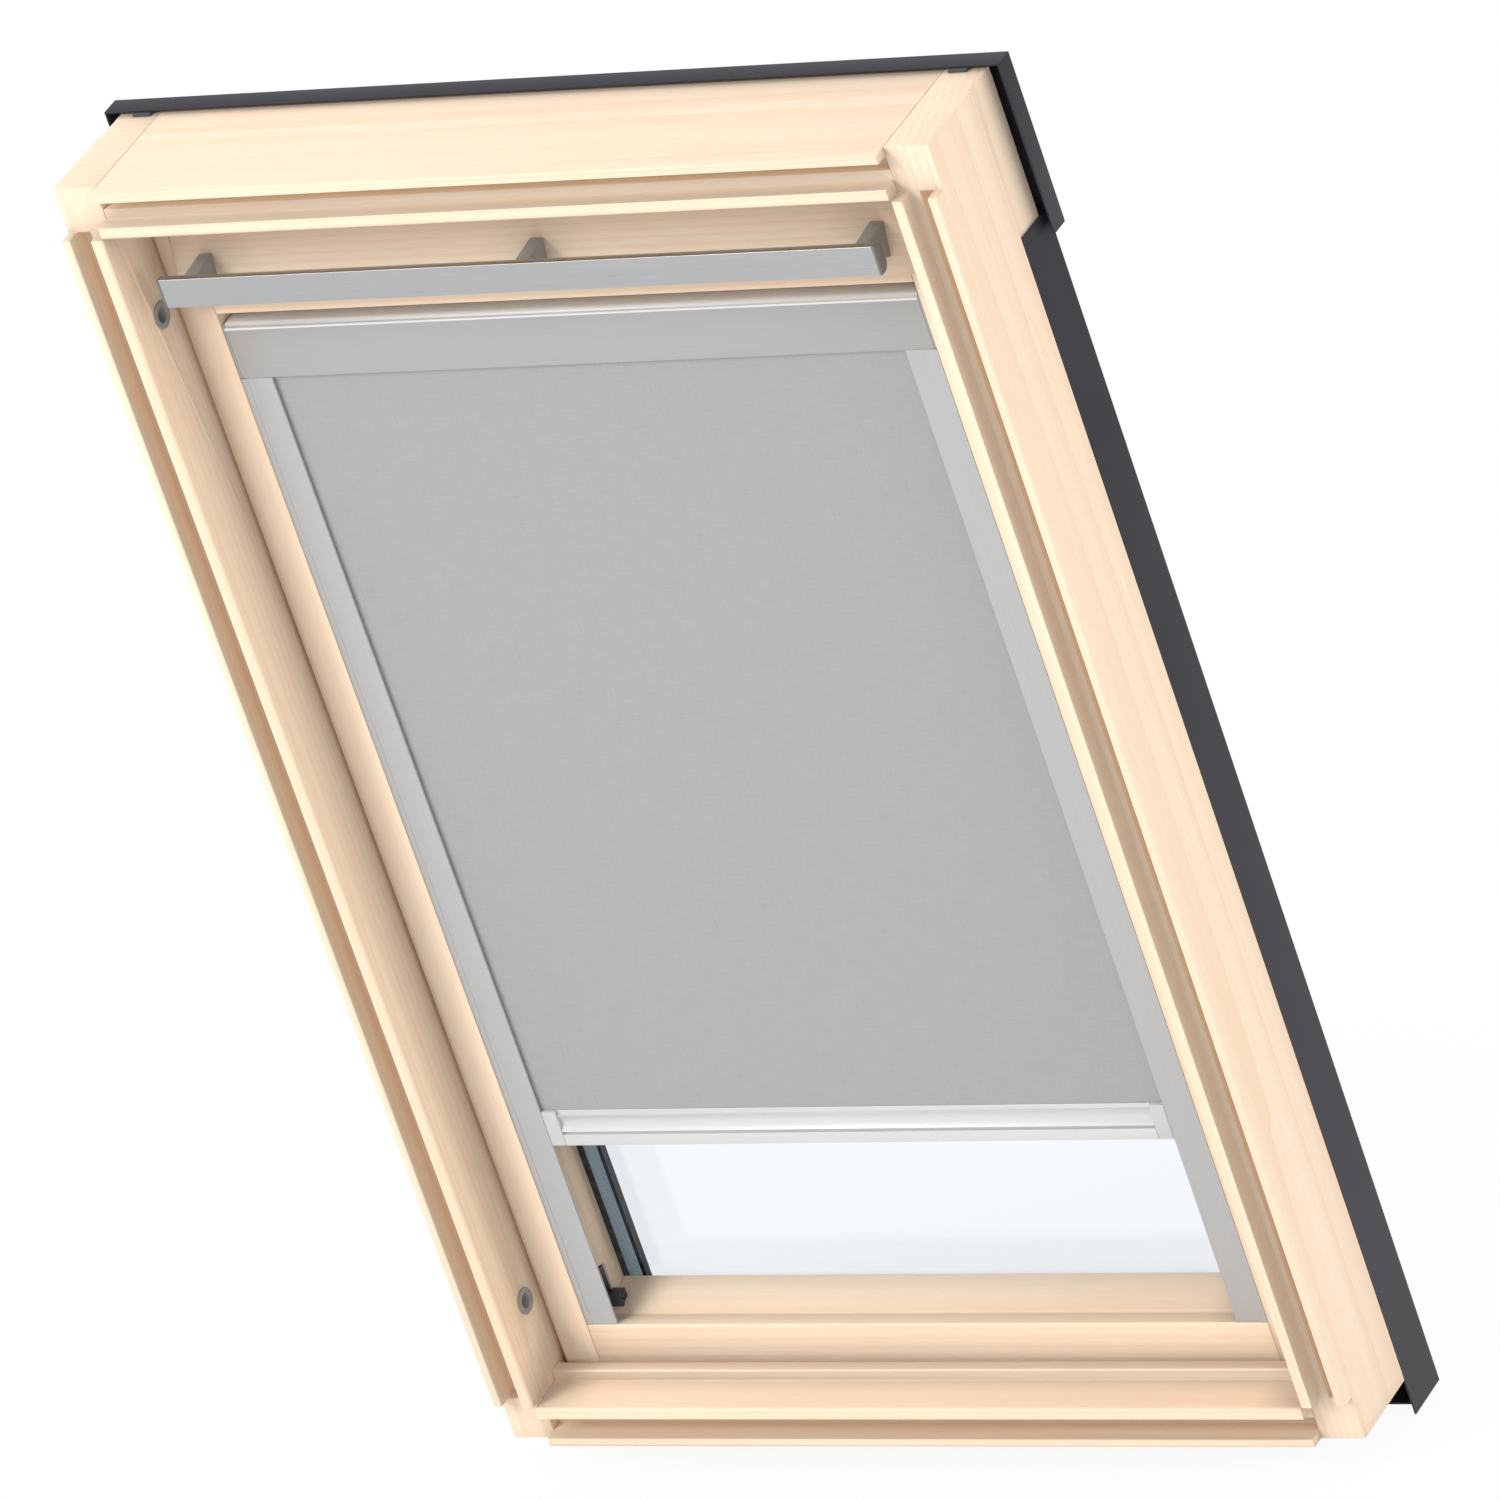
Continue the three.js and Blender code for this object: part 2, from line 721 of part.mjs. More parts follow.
function makeGlass() {
  const gasketInner = stileLipX - gasketShow;
  const gasketOuter = paneHalf - gasketGap;
  const gasketBottom = paneBottom + gasketGap;
  const gasketTop = paneTop - gasketGap;
  const gasket = ring(
    gasketFront,
    gasketFront + gasketThickness,
    gasketOuter,
    gasketBottom,
    gasketTop,
    gasketOuter - gasketInner,
    railLipZ - gasketGap - gasketBottom,
    gasketTop - headLipZ + gasketGap,
  );
  addPart("glass_gasket", gasket, "rubber");
  const panes = { inner: paneFront, outer: outerPaneFront };
  for (const [place, front] of Object.entries(panes)) {
    const pane = block([-paneHalf, front, paneBottom], [paneHalf, front + glassThickness, paneTop]);
    addPart("pane_" + place, pane, "glass");
  }
  const spacerInner = stileLipX - spacerShow;
  const spacerOuter = spacerInner + spacerWall;
  const spacerBottom = railSeatZ + spacerSeatGap;
  const spacerTop = headLipZ + spacerWall;
  const spacer = ring(
    cavityFront + fit,
    outerPaneFront - fit,
    spacerOuter,
    spacerBottom,
    spacerTop,
    spacerWall,
    spacerWall,
    spacerWall,
  );
  addPart("glass_spacer", spacer, "greyPlastic");
}

function makeSashCovers() {
  const lipFront = outerPaneBack + fit;
  const plateFront = frameDepth + fit;
  const plateBack = plateFront + sheet;
  const outer = halfWidth - sashHalf + sashCoverMargin;
  const inner = halfWidth - stileLipX + sashCoverReveal;
  const plate = (from, to) => [
    [from, plateFront],
    [to, plateFront],
    [to, plateBack],
    [from, plateBack],
  ];
  const leg = (to) => [
    [to - sheet, lipFront],
    [to, lipFront],
    [to, plateBack],
    [to - sheet, plateBack],
  ];
  const bottomEdge = sashBottom + sashCoverMargin;
  const topEdge = windowHeight - sashTop + sashCoverMargin;
  for (const side of ["left", "right"]) {
    const cover = prism(side, plate(outer, inner), bottomEdge, windowHeight - topEdge).add(
      prism(side, leg(inner), railSeatZ + fit, headRailSeat - fit),
    );
    addPart("sash_cover_" + side, cover, "cladding");
  }
  const crossHalf = halfWidth - inner - fit;
  const bottomInner = railSeatZ + sashCoverSeatLap;
  const topInner = windowHeight - headLipZ + sashCoverReveal;
  const bottomCover = prism("sill", plate(bottomEdge, bottomInner), -crossHalf, crossHalf).add(
    prism("sill", leg(bottomInner), -crossHalf, crossHalf),
  );
  addPart("sash_cover_bottom", bottomCover, "cladding");
  const topCover = prism("head", plate(topEdge, topInner), -crossHalf, crossHalf).add(
    prism("head", leg(topInner), -crossHalf, crossHalf),
  );
  addPart("sash_cover_top", topCover, "cladding");
}

// Pivot hinges: a plate with a pin in the stile, and a plate with a hole in the jamb.

function makeHinges() {
  const halfLength = hingePlateLength / 2;
  const plate = (x0, x1) =>
    block(
      [Math.min(x0, x1), pivotY - hingePlateWidth / 2, pivotZ - halfLength],
      [Math.max(x0, x1), pivotY + hingePlateWidth / 2, pivotZ + halfLength],
    );
  for (const [side, sign] of [["left", -1], ["right", 1]]) {
    const frameFace = sign * jambFaceX;
    const frameBack = sign * (jambFaceX + hingePlateThickness);
    const hole = roundAlongX(
      frameFace - sign * cut,
      frameBack + sign * cut,
      pivotY,
      pivotZ,
      pivotPinRadius + fit,
    );
    addPart("hinge_plate_frame_" + side, plate(frameFace, frameBack).subtract(hole), "steel");
    const sashFace = sign * sashHalf;
    const sashBack = sign * (sashHalf - hingePlateThickness);
    const pinEnd = sign * (jambFaceX + pivotPinReach - fit);
    const pin = roundAlongX(sashBack, pinEnd, pivotY, pivotZ, pivotPinRadius);
    addPart("hinge_plate_sash_" + side, plate(sashFace, sashBack).add(pin), "steel");
  }
}

// The barrel bolt at the foot of the left stile, in a housing on the moulded corner.

function makeBolt() {
  const slopeAt = (y) => railInnerZ + railSlope * (y - ledgeY) + fit;
  const housingRight = boltHousingInset - stileLipX;
  const housingLeft = housingRight - boltHousingWidth;
  const front = boltY - boltHousingDepth / 2;
  const back = boltY + boltHousingDepth / 2;
  const top = boltZ + boltHousingRise;
  const housing = alongX(
    [
      [front, slopeAt(front)],
      [back, slopeAt(back)],
      [back, top],
      [front + boltHousingEdge, top],
      [front, top - boltHousingEdge],
    ],
    housingLeft,
    housingRight,
  )
    .subtract(roundAlongX(housingLeft - cut, housingRight + cut, boltY, boltZ, boltRadius + fit))
    .subtract(prism("left", stileOutline(fit), sashBottom, sashTop));
  addPart("bolt_housing", housing, "darkPlastic");

  const rodLeft = boltTravel - sashHalf;
  const handleRight = housingLeft - fit;
  const rod = roundAlongX(rodLeft, rodLeft + boltLength, boltY, boltZ, boltRadius);
  const handle = block(
    [handleRight - boltHandleWidth, boltY - boltHandleDepth / 2, boltZ - boltRadius],
    [handleRight, boltY + boltHandleDepth / 2, boltZ + boltHandleRise],
  );
  addPart("barrel_bolt", rod.add(handle), "steel");
}

// The ventilation flap, which leans out at its foot, and the control bar on its three brackets.

function flapFaceY(z) {
  return flapFootY + flapLean * (z - flapPivotZ);
}

function makeFlap() {
  const flap = alongX(
    [
      [flapFootY, flapPivotZ],
      ...arc([flapPivotY, flapPivotZ], flapRound, Math.PI, Math.PI * 1.5),
      [flapBackY, flapPivotZ - flapRound],
      [flapBackY, flapTop],
      [flapHeadY, flapTop],
      [flapHeadY, flapBend],
    ],
    -flapHalf,
    flapHalf,
  );
  const pinEnd = flapNotchX + flapPinReach - fit;
  const pins = [-1, 1].map((sign) =>
    roundAlongX(sign * (flapHalf - flapPinReach), sign * pinEnd, flapPivotY, flapPivotZ, flapPinRadius),
  );
  addPart("vent_flap", flap.add(pins[0]).add(pins[1]), "pine");

  const roundY = barBackY - barRound;
  const barOutline = [
    [barFrontY, barBottom],
    ...arc([roundY, barBottom + barRound], barRound, -Math.PI / 2, 0),
    ...arc([roundY, barTop - barRound], barRound, 0, Math.PI / 2),
    [barFrontY, barTop],
  ];
  const barInner = barHalf - barCap;
  addPart("control_bar", alongX(barOutline, -barInner, barInner), "silver");
  addPart("bar_end_left", alongX(barOutline, -barHalf, -barInner), "darkPlastic");
  addPart("bar_end_right", alongX(barOutline, barInner, barHalf), "darkPlastic");

  const rootTop = barTop - barRound;
  const footTop = barTop - bracketTopInset;
  const footBottom = footTop - bracketFoot;
  const bracketOutline = [
    [barBackY, rootTop - bracketRoot],
    [flapFaceY(footBottom) - fit, footBottom],
    [flapFaceY(footTop) - fit, footTop],
    [barBackY, rootTop],
  ];
  const bracketX = barHalf - bracketInset;
  const places = { left: -bracketX, middle: 0, right: bracketX };
  for (const [place, x] of Object.entries(places)) {
    const bracket = alongX(bracketOutline, x - bracketWidth / 2, x + bracketWidth / 2);
    addPart("bar_bracket_" + place, bracket, "greyPlastic");
  }
}

// The blind's headbox: a back shell, a front cover that wraps over the top, two ends and the roller.

function makeHeadbox() {
  const shellTop = headboxTop - headboxWall - fit;
  const coverBack = blindFront + headboxWall;
  const slotFront = fabricFrontY - fabricSlot / 4;
  const slotBack = slotFront + fabricSlot;
  const shellHalf = headboxHalf - headboxEndWall - fit;
  const centre = [blindFront + headboxRound, headboxTop - headboxRound];
  const shell = alongX(
    [
      [slotBack, headboxBottom],
      [headboxBackY, headboxBottom],
      [headboxBackY, shellTop],
      [centre[0], shellTop],
      [centre[0], shellTop - headboxWall],
      [headboxBackY - headboxWall, shellTop - headboxWall],
      [headboxBackY - headboxWall, headboxBottom + headboxWall],
      [slotBack, headboxBottom + headboxWall],
    ],
    -shellHalf,
    shellHalf,
  );
  addPart("headbox_shell", shell, "blindSilver");

  const wrapBack = blindFront + headboxCoverDepth;
  const cover = alongX(
    [
      [slotFront, headboxBottom],
      [slotFront, headboxBottom + headboxWall],
      [coverBack, headboxBottom + headboxWall],
      ...arc(centre, headboxRound - headboxWall, Math.PI, Math.PI / 2),
      [wrapBack, headboxTop - headboxWall],
      [wrapBack, headboxTop],
      ...arc(centre, headboxRound, Math.PI / 2, Math.PI),
      [blindFront, headboxBottom],
    ],
    -shellHalf,
    shellHalf,
  );
  addPart("headbox_cover", cover, "blindSilver");

  const endOutline = [
    [blindFront, headboxBottom],
    [headboxBackY, headboxBottom],
    [headboxBackY, headboxTop],
    ...arc(centre, headboxRound, Math.PI / 2, Math.PI),
  ];
  for (const [side, sign] of [["left", -1], ["right", 1]]) {
    const outerX = sign * headboxHalf;
    const innerX = sign * (headboxHalf - headboxEndWall);
    const bossEnd = sign * (headboxHalf - headboxEndWall - rollerBossLength);
    const plate = alongX(endOutline, Math.min(outerX, innerX), Math.max(outerX, innerX));
    const boss = roundAlongX(innerX, bossEnd, rollerY, rollerZ, rollerBossRadius);
    addPart("headbox_end_" + side, plate.add(boss), "greyPlastic");
  }

  const tube = roundAlongX(-rollerHalf, rollerHalf, rollerY, rollerZ, rollerTubeRadius).subtract(
    roundAlongX(-rollerHalf - cut, rollerHalf + cut, rollerY, rollerZ, rollerTubeRadius - rollerTubeWall),
  );
  addPart("roller_tube", tube, "steel");
  const roll = roundAlongX(-channelInnerX, channelInnerX, rollerY, rollerZ, rollRadius).subtract(
    roundAlongX(-channelInnerX - cut, channelInnerX + cut, rollerY, rollerZ, rollerTubeRadius + fit),
  );
  addPart("fabric_roll", roll, "fabric");
  const springEnd = headboxHalf - headboxEndWall - rollerBossLength - fit;
  addPart(
    "roller_spring",
    roundAlongX(springEnd - springLength, springEnd, rollerY, rollerZ, rollerBossRadius),
    "steel",
  );
}

// The side channels: a box with a slit for the fabric, under a wider front flange with a rib.
function makeChannels() {
  const inner = halfWidth - channelInnerX;
  const body = halfWidth - channelBodyX;
  const outer = halfWidth - channelOuterX;
  const back = ledgeY - fit;
  const slitBack = fabricBackY + channelSlitGap;
  const outline = [
    [outer, blindFront],
    [inner, blindFront],
    [inner, blindFront + channelReturn],
    [inner - channelWall, blindFront + channelReturn],
    [inner - channelWall, blindFront + channelWall],
    [outer + channelWall, blindFront + channelWall],
    [outer + channelWall, back - channelWall],
    [body - channelWall, back - channelWall],
    [body - channelWall, slitBack],
    [body, slitBack],
    [body, back],
    [outer, back],
  ];
  for (const side of ["left", "right"]) {
    const ribInner = outer + channelRib;
    const rib = [
      [outer, blindFront - channelRibHeight],
      [ribInner, blindFront - channelRibHeight],
      [ribInner, blindFront + channelWall / 2],
      [outer, blindFront + channelWall / 2],
    ];
    const channel = prism(side, outline, channelBottom, channelTop).add(
      prism(side, rib, channelBottom, channelTop),
    );
    addPart("blind_channel_" + side, channel, "blindSilver");
  }
}

// The bottom bar: a lip, a groove and a hollow grip, between end caps that run in the channels.
function makeBottomBar() {
  const lipTop = bottomBarBottom + bottomBarLipHeight;
  const gripBottom = lipTop + bottomBarGroove;
  const gripTop = bottomBarTop - bottomBarTopHeight;
  const recessY = blindFront + bottomBarGrooveDepth;
  const backY = blindFront + bottomBarDepth;
  const outline = [
    [backY, bottomBarBottom],
    [backY, bottomBarTop],
    [recessY, bottomBarTop],
    [recessY, gripTop],
    ...cove(blindFront, bottomBarCove, gripTop, gripBottom),
    [recessY, gripBottom],
    [recessY, lipTop],
    [blindFront, lipTop],
    [blindFront, bottomBarBottom],
  ];
  const capOut = channelInnerX - fit;
  const capIn = capOut - bottomBarCap;
  addPart("blind_bottom_bar", alongX(outline, fit - capIn, capIn - fit), "blindSilver");
  const neckFront = blindFront + channelReturn + fit;
  const neckBack = fabricBackY + channelSlitGap - fit;
  const glideIn = channelBodyX + channelWall + fit;
  const glideOut = channelOuterX - channelWall - fit * 2;
  const glideFront = blindFront + channelWall + fit;
  const glideBack = ledgeY - fit - channelWall - fit * 2;
  const glideBottom = (bottomBarBottom + bottomBarTop - glideHeight) / 2;
  const glideTop = glideBottom + glideHeight;
  for (const [side, sign] of [["left", -1], ["right", 1]]) {
    const piece = (x0, x1, y0, y1, z0, z1) =>
      block([Math.min(sign * x0, sign * x1), y0, z0], [Math.max(sign * x0, sign * x1), y1, z1]);
    const glide = piece(capIn, capOut, blindFront, backY, bottomBarBottom, bottomBarTop)
      .add(piece(capOut - cut, glideIn + cut, neckFront, neckBack, glideBottom, glideTop))
      .add(piece(glideIn, glideOut, glideFront, glideBack, glideBottom, glideTop));
    addPart("blind_glide_" + side, glide, "greyPlastic");
  }
  const fabricHalf = channelInnerX + fabricGrip;
  const fabric = block(
    [-channelInnerX, fabricFrontY, bottomBarTop + fit],
    [channelInnerX, fabricBackY, rollerZ],
  ).add(
    block(
      [-fabricHalf, fabricFrontY, bottomBarTop + fit],
      [fabricHalf, fabricBackY, headboxBottom],
    ),
  );
  addPart("blind_fabric", fabric, "fabric");
}

makeFrame();
makeBushes();
makeFrameTrim();
makeFrameCovers();
makeStiles();
makeRails();
makeGlass();
makeSashCovers();
makeHinges();
makeBolt();
makeFlap();
makeHeadbox();
makeChannels();
makeBottomBar();

export default model;
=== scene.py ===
"""Looks of a centre-pivot roof window with its blackout blind.

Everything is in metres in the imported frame: X to the right seen from the room, Y out of the room, Z up.
"""
import json
import math

import bmesh
import bpy
from mathutils import Matrix, Vector

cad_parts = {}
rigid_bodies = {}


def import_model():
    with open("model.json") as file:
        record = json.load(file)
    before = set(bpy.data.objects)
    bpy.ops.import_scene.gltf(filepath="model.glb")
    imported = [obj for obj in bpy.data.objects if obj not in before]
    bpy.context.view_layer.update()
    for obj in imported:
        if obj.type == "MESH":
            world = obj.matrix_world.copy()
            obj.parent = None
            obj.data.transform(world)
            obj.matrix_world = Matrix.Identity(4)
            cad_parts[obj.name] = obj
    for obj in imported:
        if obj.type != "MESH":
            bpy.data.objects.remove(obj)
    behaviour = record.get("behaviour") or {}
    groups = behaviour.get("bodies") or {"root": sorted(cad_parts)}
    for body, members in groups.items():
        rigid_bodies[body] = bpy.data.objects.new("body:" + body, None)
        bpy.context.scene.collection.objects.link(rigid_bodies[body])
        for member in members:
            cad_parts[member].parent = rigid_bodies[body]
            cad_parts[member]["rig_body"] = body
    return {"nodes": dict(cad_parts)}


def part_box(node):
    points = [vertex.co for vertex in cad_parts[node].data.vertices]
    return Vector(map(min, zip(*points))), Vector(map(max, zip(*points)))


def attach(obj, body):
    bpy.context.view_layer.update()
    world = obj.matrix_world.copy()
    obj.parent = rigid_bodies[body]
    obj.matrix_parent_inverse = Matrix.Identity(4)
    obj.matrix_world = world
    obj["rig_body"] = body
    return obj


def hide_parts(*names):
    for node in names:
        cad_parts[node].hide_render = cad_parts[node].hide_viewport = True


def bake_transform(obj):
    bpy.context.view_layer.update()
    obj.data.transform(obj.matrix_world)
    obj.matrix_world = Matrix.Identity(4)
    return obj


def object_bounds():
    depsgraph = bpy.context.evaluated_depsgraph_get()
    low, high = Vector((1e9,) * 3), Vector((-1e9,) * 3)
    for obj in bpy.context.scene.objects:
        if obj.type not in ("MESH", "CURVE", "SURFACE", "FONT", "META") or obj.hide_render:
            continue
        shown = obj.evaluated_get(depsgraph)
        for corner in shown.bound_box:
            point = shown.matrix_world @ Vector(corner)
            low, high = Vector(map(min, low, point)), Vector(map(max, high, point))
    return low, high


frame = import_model()
cad_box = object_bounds()
nodes = frame["nodes"]

MM = 0.001

# Camera
CAMERA_AIM = (0.01373, 0.058, 0.61392)
CAMERA_DISTANCE = 11.307
CAMERA_AZIMUTH = 35.13
CAMERA_ELEVATION = 27.29
CAMERA_ROLL = -19.42
CAMERA_REACH = 100.0
PHOTO_WIDTH = 1500
FOCAL_PIXELS = 14549.8
SENSOR_WIDTH = 36.0

# Stage and light
FLOOR_SIZE = 60.0
FLOOR_GREY = 250
FLOOR_SHADOW_REACH = 0.7
FLOOR_SHADOW_CORE = 0.3
FLOOR_SHADOW_SHARE = 0.08
AMBIENT = 0.83
WHITE = (1.0, 1.0, 1.0, 1.0)
KEY_POWER = 315.0
KEY_SIZE = 3.6
KEY_PLACE = (-4.2, -5.0, 6.0)
FILL_POWER = 28.0
FILL_SIZE = 3.0
FILL_PLACE = (4.8, -1.6, 1.5)

# Mesh finish
WELD = 0.002 * MM
FLAT_ANGLE = math.radians(0.5)
SHARP_ANGLE = math.radians(29)
EDGE_STEPS = 2

# Patterns of the finishes, in cells per metre
RING_CELLS = 44.0
FIBRE_CELLS = 900.0
STREAK_CELLS = 130.0
PINE_CLOUD_CELLS = 22.0
PEEL_CELLS = 900.0
LACQUER_CLOUD_CELLS = 9.0
BRUSH_CELLS = 2600.0
BRUSH_CLOUD_CELLS = 60.0
DRAW_LINE_CELLS = 1700.0
FLECK_CELLS = 2400.0
SPARK_CELLS = 1500.0
DUST_CELLS = 160.0
RUBBER_CELLS = 1200.0
MOTTLE_CELLS = 240.0
GLASS_DRIFT_CELLS = 1.6
SPACER_CELLS = 700.0
TANGLE_CELLS = 1400.0
CLUMP_CELLS = 180.0
SLUB_CELLS = 850.0

# How much slower a pattern changes along its grain than across it
PINE_RUN = 0.045
METAL_RUN = 0.01
SLUB_RUN = 0.06

# Depths of the finishes' relief
FIBRE_DEPTH = 0.12 * MM
PEEL_DEPTH = 0.06 * MM
METAL_DEPTH = 0.02 * MM
SPARK_DEPTH = 0.05 * MM
RUBBER_DEPTH = 0.05 * MM
MOTTLE_DEPTH = 0.03 * MM
SPACER_DEPTH = 0.04 * MM
TANGLE_DEPTH = 0.4 * MM
WEAVE_DEPTH = 0.05 * MM

# Pine
LAMELLA = 38.6 * MM
LAMELLA_SHIFT_X = 0.05
LAMELLA_SHIFT_Z = 0.03
PITH_ACROSS = (0.0, 0.07, -0.35)
PITH_UP = (0.31, 0.09, 0.0)
# Painted shade on the pine: the reach, samples and tint of the darkening in recesses
PAINTED_SHADE_REACH = 46 * MM
PAINTED_SHADE_SAMPLES = 8
PAINTED_SHADE_TINT = (0.62, 0.66, 0.71, 1.0)

# Cloth
YARN_PITCH = 0.62 * MM
FABRIC_CELL = 12 * MM
FABRIC_HANG = 978.5 * MM
FABRIC_INSET = 14 * MM
FABRIC_TAPER = 1 * MM
FABRIC_FILL = 0.9

# Bead along the headbox
BEAD_RADIUS = 1.1 * MM
BEAD_DROP = 4.6 * MM
BEAD_STEPS = 10
BEAD_EDGE = 0.1 * MM

# Screws
SCREW_RADIUS = 3.6 * MM
SCREW_TOP_RADIUS = 0.86 * SCREW_RADIUS
SCREW_RISE = 0.5 * MM
SCREW_SHOULDER = 0.4 * SCREW_RISE
SCREW_SINK = 0.8 * MM
SCREW_STEPS = 28
CROSS_LONG = 2.1 * MM
CROSS_SHORT = 0.45 * MM
CROSS_SINK = 0.6 * SCREW_SINK
HINGE_SCREW_RISE = 44 * MM
LOCK_SCREW_SPAN = 33 * MM
FRAME_PLATE_FACE = 351.0 * MM
SASH_PLATE_FACE = 347.0 * MM


def linear(value):
    """One channel of a colour, from what a screen shows to what a shader takes."""
    share = value / 255
    if share <= 0.04045:
        return share / 12.92
    return ((share + 0.055) / 1.055) ** 2.4


def tone(red, green, blue):
    """A colour given in 0 to 255, as a picture shows it."""
    return (linear(red), linear(green), linear(blue), 1.0)


class Graph:
    """A node tree being made, with short calls that add nodes to it."""

    def __init__(self, tree):
        self.tree = tree

    def feed(self, socket, value):
        """Joins an output to a socket, or sets the socket to a plain value."""
        if isinstance(value, bpy.types.NodeSocket):
            self.tree.links.new(value, socket)
        else:
            socket.default_value = value

    def add(self, kind, inputs, **settings):
        """A new node with its settings and inputs."""
        node = self.tree.nodes.new("ShaderNode" + kind)
        for setting, value in settings.items():
            setattr(node, setting, value)
        for socket, value in inputs.items():
            self.feed(node.inputs[socket], value)
        return node

    def sum(self, kind, first, second):
        """One sum on two numbers."""
        return self.add("Math", {0: first, 1: second}, operation=kind).outputs["Value"]

    def spread(self, value, low, high, to_low=0.0, to_high=1.0):
        """A number carried from one range to another, and held inside it."""
        inputs = {"Value": value, "From Min": low, "From Max": high, "To Min": to_low, "To Max": to_high}
        return self.add("MapRange", inputs).outputs["Result"]

    def seen_rays(self):
        """One for rays from the camera, from gloss and through glass, and nothing for the rest."""
        path = self.add("LightPath", {}).outputs
        gloss = self.sum("MAXIMUM", path["Is Glossy Ray"], path["Is Transmission Ray"])
        return self.sum("MAXIMUM", path["Is Camera Ray"], gloss)


class Look(Graph):
    """A material being made, with calls for its patterns and its shader."""

    def __init__(self, name, **values):
        self.material = bpy.data.materials.new(name)
        self.material.use_nodes = True
        super().__init__(self.material.node_tree)
        self.shader = self.tree.nodes["Principled BSDF"]
        for socket, value in values.items():
            self.shader.inputs[socket.replace("_", " ")].default_value = value
        self.place = self.add("TexCoord", {}).outputs["Object"]

    def along(self, grain, run, shift=(0.0, 0.0, 0.0)):
        """The object's place, drawn out along the grain and then moved."""
        scale = (run, 1.0, 1.0) if grain == "X" else (1.0, 1.0, run)
        inputs = {"Vector": self.place, "Location": shift, "Scale": scale}
        return self.add("Mapping", inputs).outputs["Vector"]

    def split(self, vector):
        """The three parts of a vector."""
        return self.add("SeparateXYZ", {"Vector": vector}).outputs

    def noise(self, place, cells, detail=2.0, warp=0.0):
        """Soft noise from 0 to 1."""
        inputs = {"Vector": place, "Scale": cells, "Detail": detail, "Distortion": warp}
        return self.add("TexNoise", inputs).outputs["Fac"]

    def middle(self, value, to_low=0.0, to_high=1.0):
        """Noise carried to a range of its own by its middle values, which are most of it."""
        return self.spread(value, 0.3, 0.7, to_low, to_high)

    def mixed(self, share, first, second, blend="MIX"):
        """A colour between two, or the first one tinted by the second."""
        node = self.add("Mix", {}, data_type="RGBA", blend_type=blend)
        self.feed(node.inputs["Factor"], share)
        for socket, value in ((node.inputs[6], first), (node.inputs[7], second)):
            self.feed(socket, value)
        return node.outputs[2]

    def painted_recess_shade(self, reach):
        """Painted shade for recesses: how far a recess closes the place in, 0 in the open, 1 in a wide one,
        less in a narrow groove.
        """
        opened = self.add("AmbientOcclusion", {"Distance": reach}, samples=PAINTED_SHADE_SAMPLES).outputs["AO"]
        recess = self.spread(opened, 0.55, 1.0, 1.0, 0.0)
        groove = self.spread(opened, 0.20, 0.48, 0.25, 1.0)
        return self.sum("MULTIPLY", recess, groove)

    def colour(self, value):
        """Takes the surface's colour from an output."""
        self.feed(self.shader.inputs["Base Color"], value)

    def roughness(self, value):
        """Takes the surface's roughness from an output."""
        self.feed(self.shader.inputs["Roughness"], value)

    def relief(self, height, depth, strength):
        """Raises the surface by a height from 0 to 1, to a depth in metres."""
        inputs = {"Height": height, "Distance": depth, "Strength": strength}
        self.feed(self.shader.inputs["Normal"], self.add("Bump", inputs).outputs["Normal"])


# Materials


def pine_look(name, grain, pith):
    """Lacquered laminated pine: growth rings about a pith line, fibres and lamella tints, darkened in
    recesses by painted shade.
    """
    look = Look(name, Roughness=0.5, Specular_IOR_Level=0.35, Coat_Weight=0.12, Coat_Roughness=0.35)
    across = look.split(look.place)["Y"]
    lamella = look.sum("FLOOR", look.sum("DIVIDE", across, LAMELLA), 0.0)
    chance = look.add("TexWhiteNoise", {"W": lamella}, noise_dimensions="1D").outputs["Value"]
    shift_x = look.sum("MULTIPLY", chance, LAMELLA_SHIFT_X)
    shift_z = look.sum("MULTIPLY", chance, LAMELLA_SHIFT_Z)
    offset = look.add("CombineXYZ", {"X": shift_x, "Z": shift_z}).outputs["Vector"]
    log = look.along(grain, PINE_RUN, pith)
    board = look.add("VectorMath", {0: log, 1: offset}, operation="ADD").outputs["Vector"]
    rings = look.add(
        "TexWave",
        {"Vector": board, "Scale": RING_CELLS, "Distortion": 7.0, "Detail": 2.0, "Detail Scale": 0.25},
        wave_type="RINGS",
        rings_direction=grain,
        wave_profile="SAW",
    ).outputs["Fac"]
    fibres = look.noise(board, FIBRE_CELLS, 3.0)
    broad = look.noise(board, PINE_CLOUD_CELLS, 2.0, 0.4)
    streaks = look.noise(board, STREAK_CELLS, 3.0, 0.3)
    ground = look.mixed(look.middle(broad, 0.10, 0.70), tone(255, 238, 212), tone(255, 227, 198))
    streaked = look.mixed(look.spread(streaks, 0.35, 0.7, 0.0, 0.5), ground, tone(254, 220, 191))
    ringed = look.mixed(look.spread(rings, 0.45, 1.0, 0.0, 0.52), streaked, tone(246, 210, 176))
    fine = look.mixed(look.spread(fibres, 0.35, 0.75, 0.0, 0.32), ringed, tone(246, 212, 180))
    tinted = look.mixed(look.sum("MULTIPLY", chance, 0.14), fine, tone(255, 223, 193))
    # Painted shade: the colour is multiplied by a dark tint where ambient occlusion finds a recess
    look.colour(look.mixed(look.painted_recess_shade(PAINTED_SHADE_REACH), tinted, PAINTED_SHADE_TINT, "MULTIPLY"))
    look.roughness(look.spread(fibres, 0.2, 0.8, 0.42, 0.58))
    look.relief(fibres, FIBRE_DEPTH, 0.5)
    return look.material


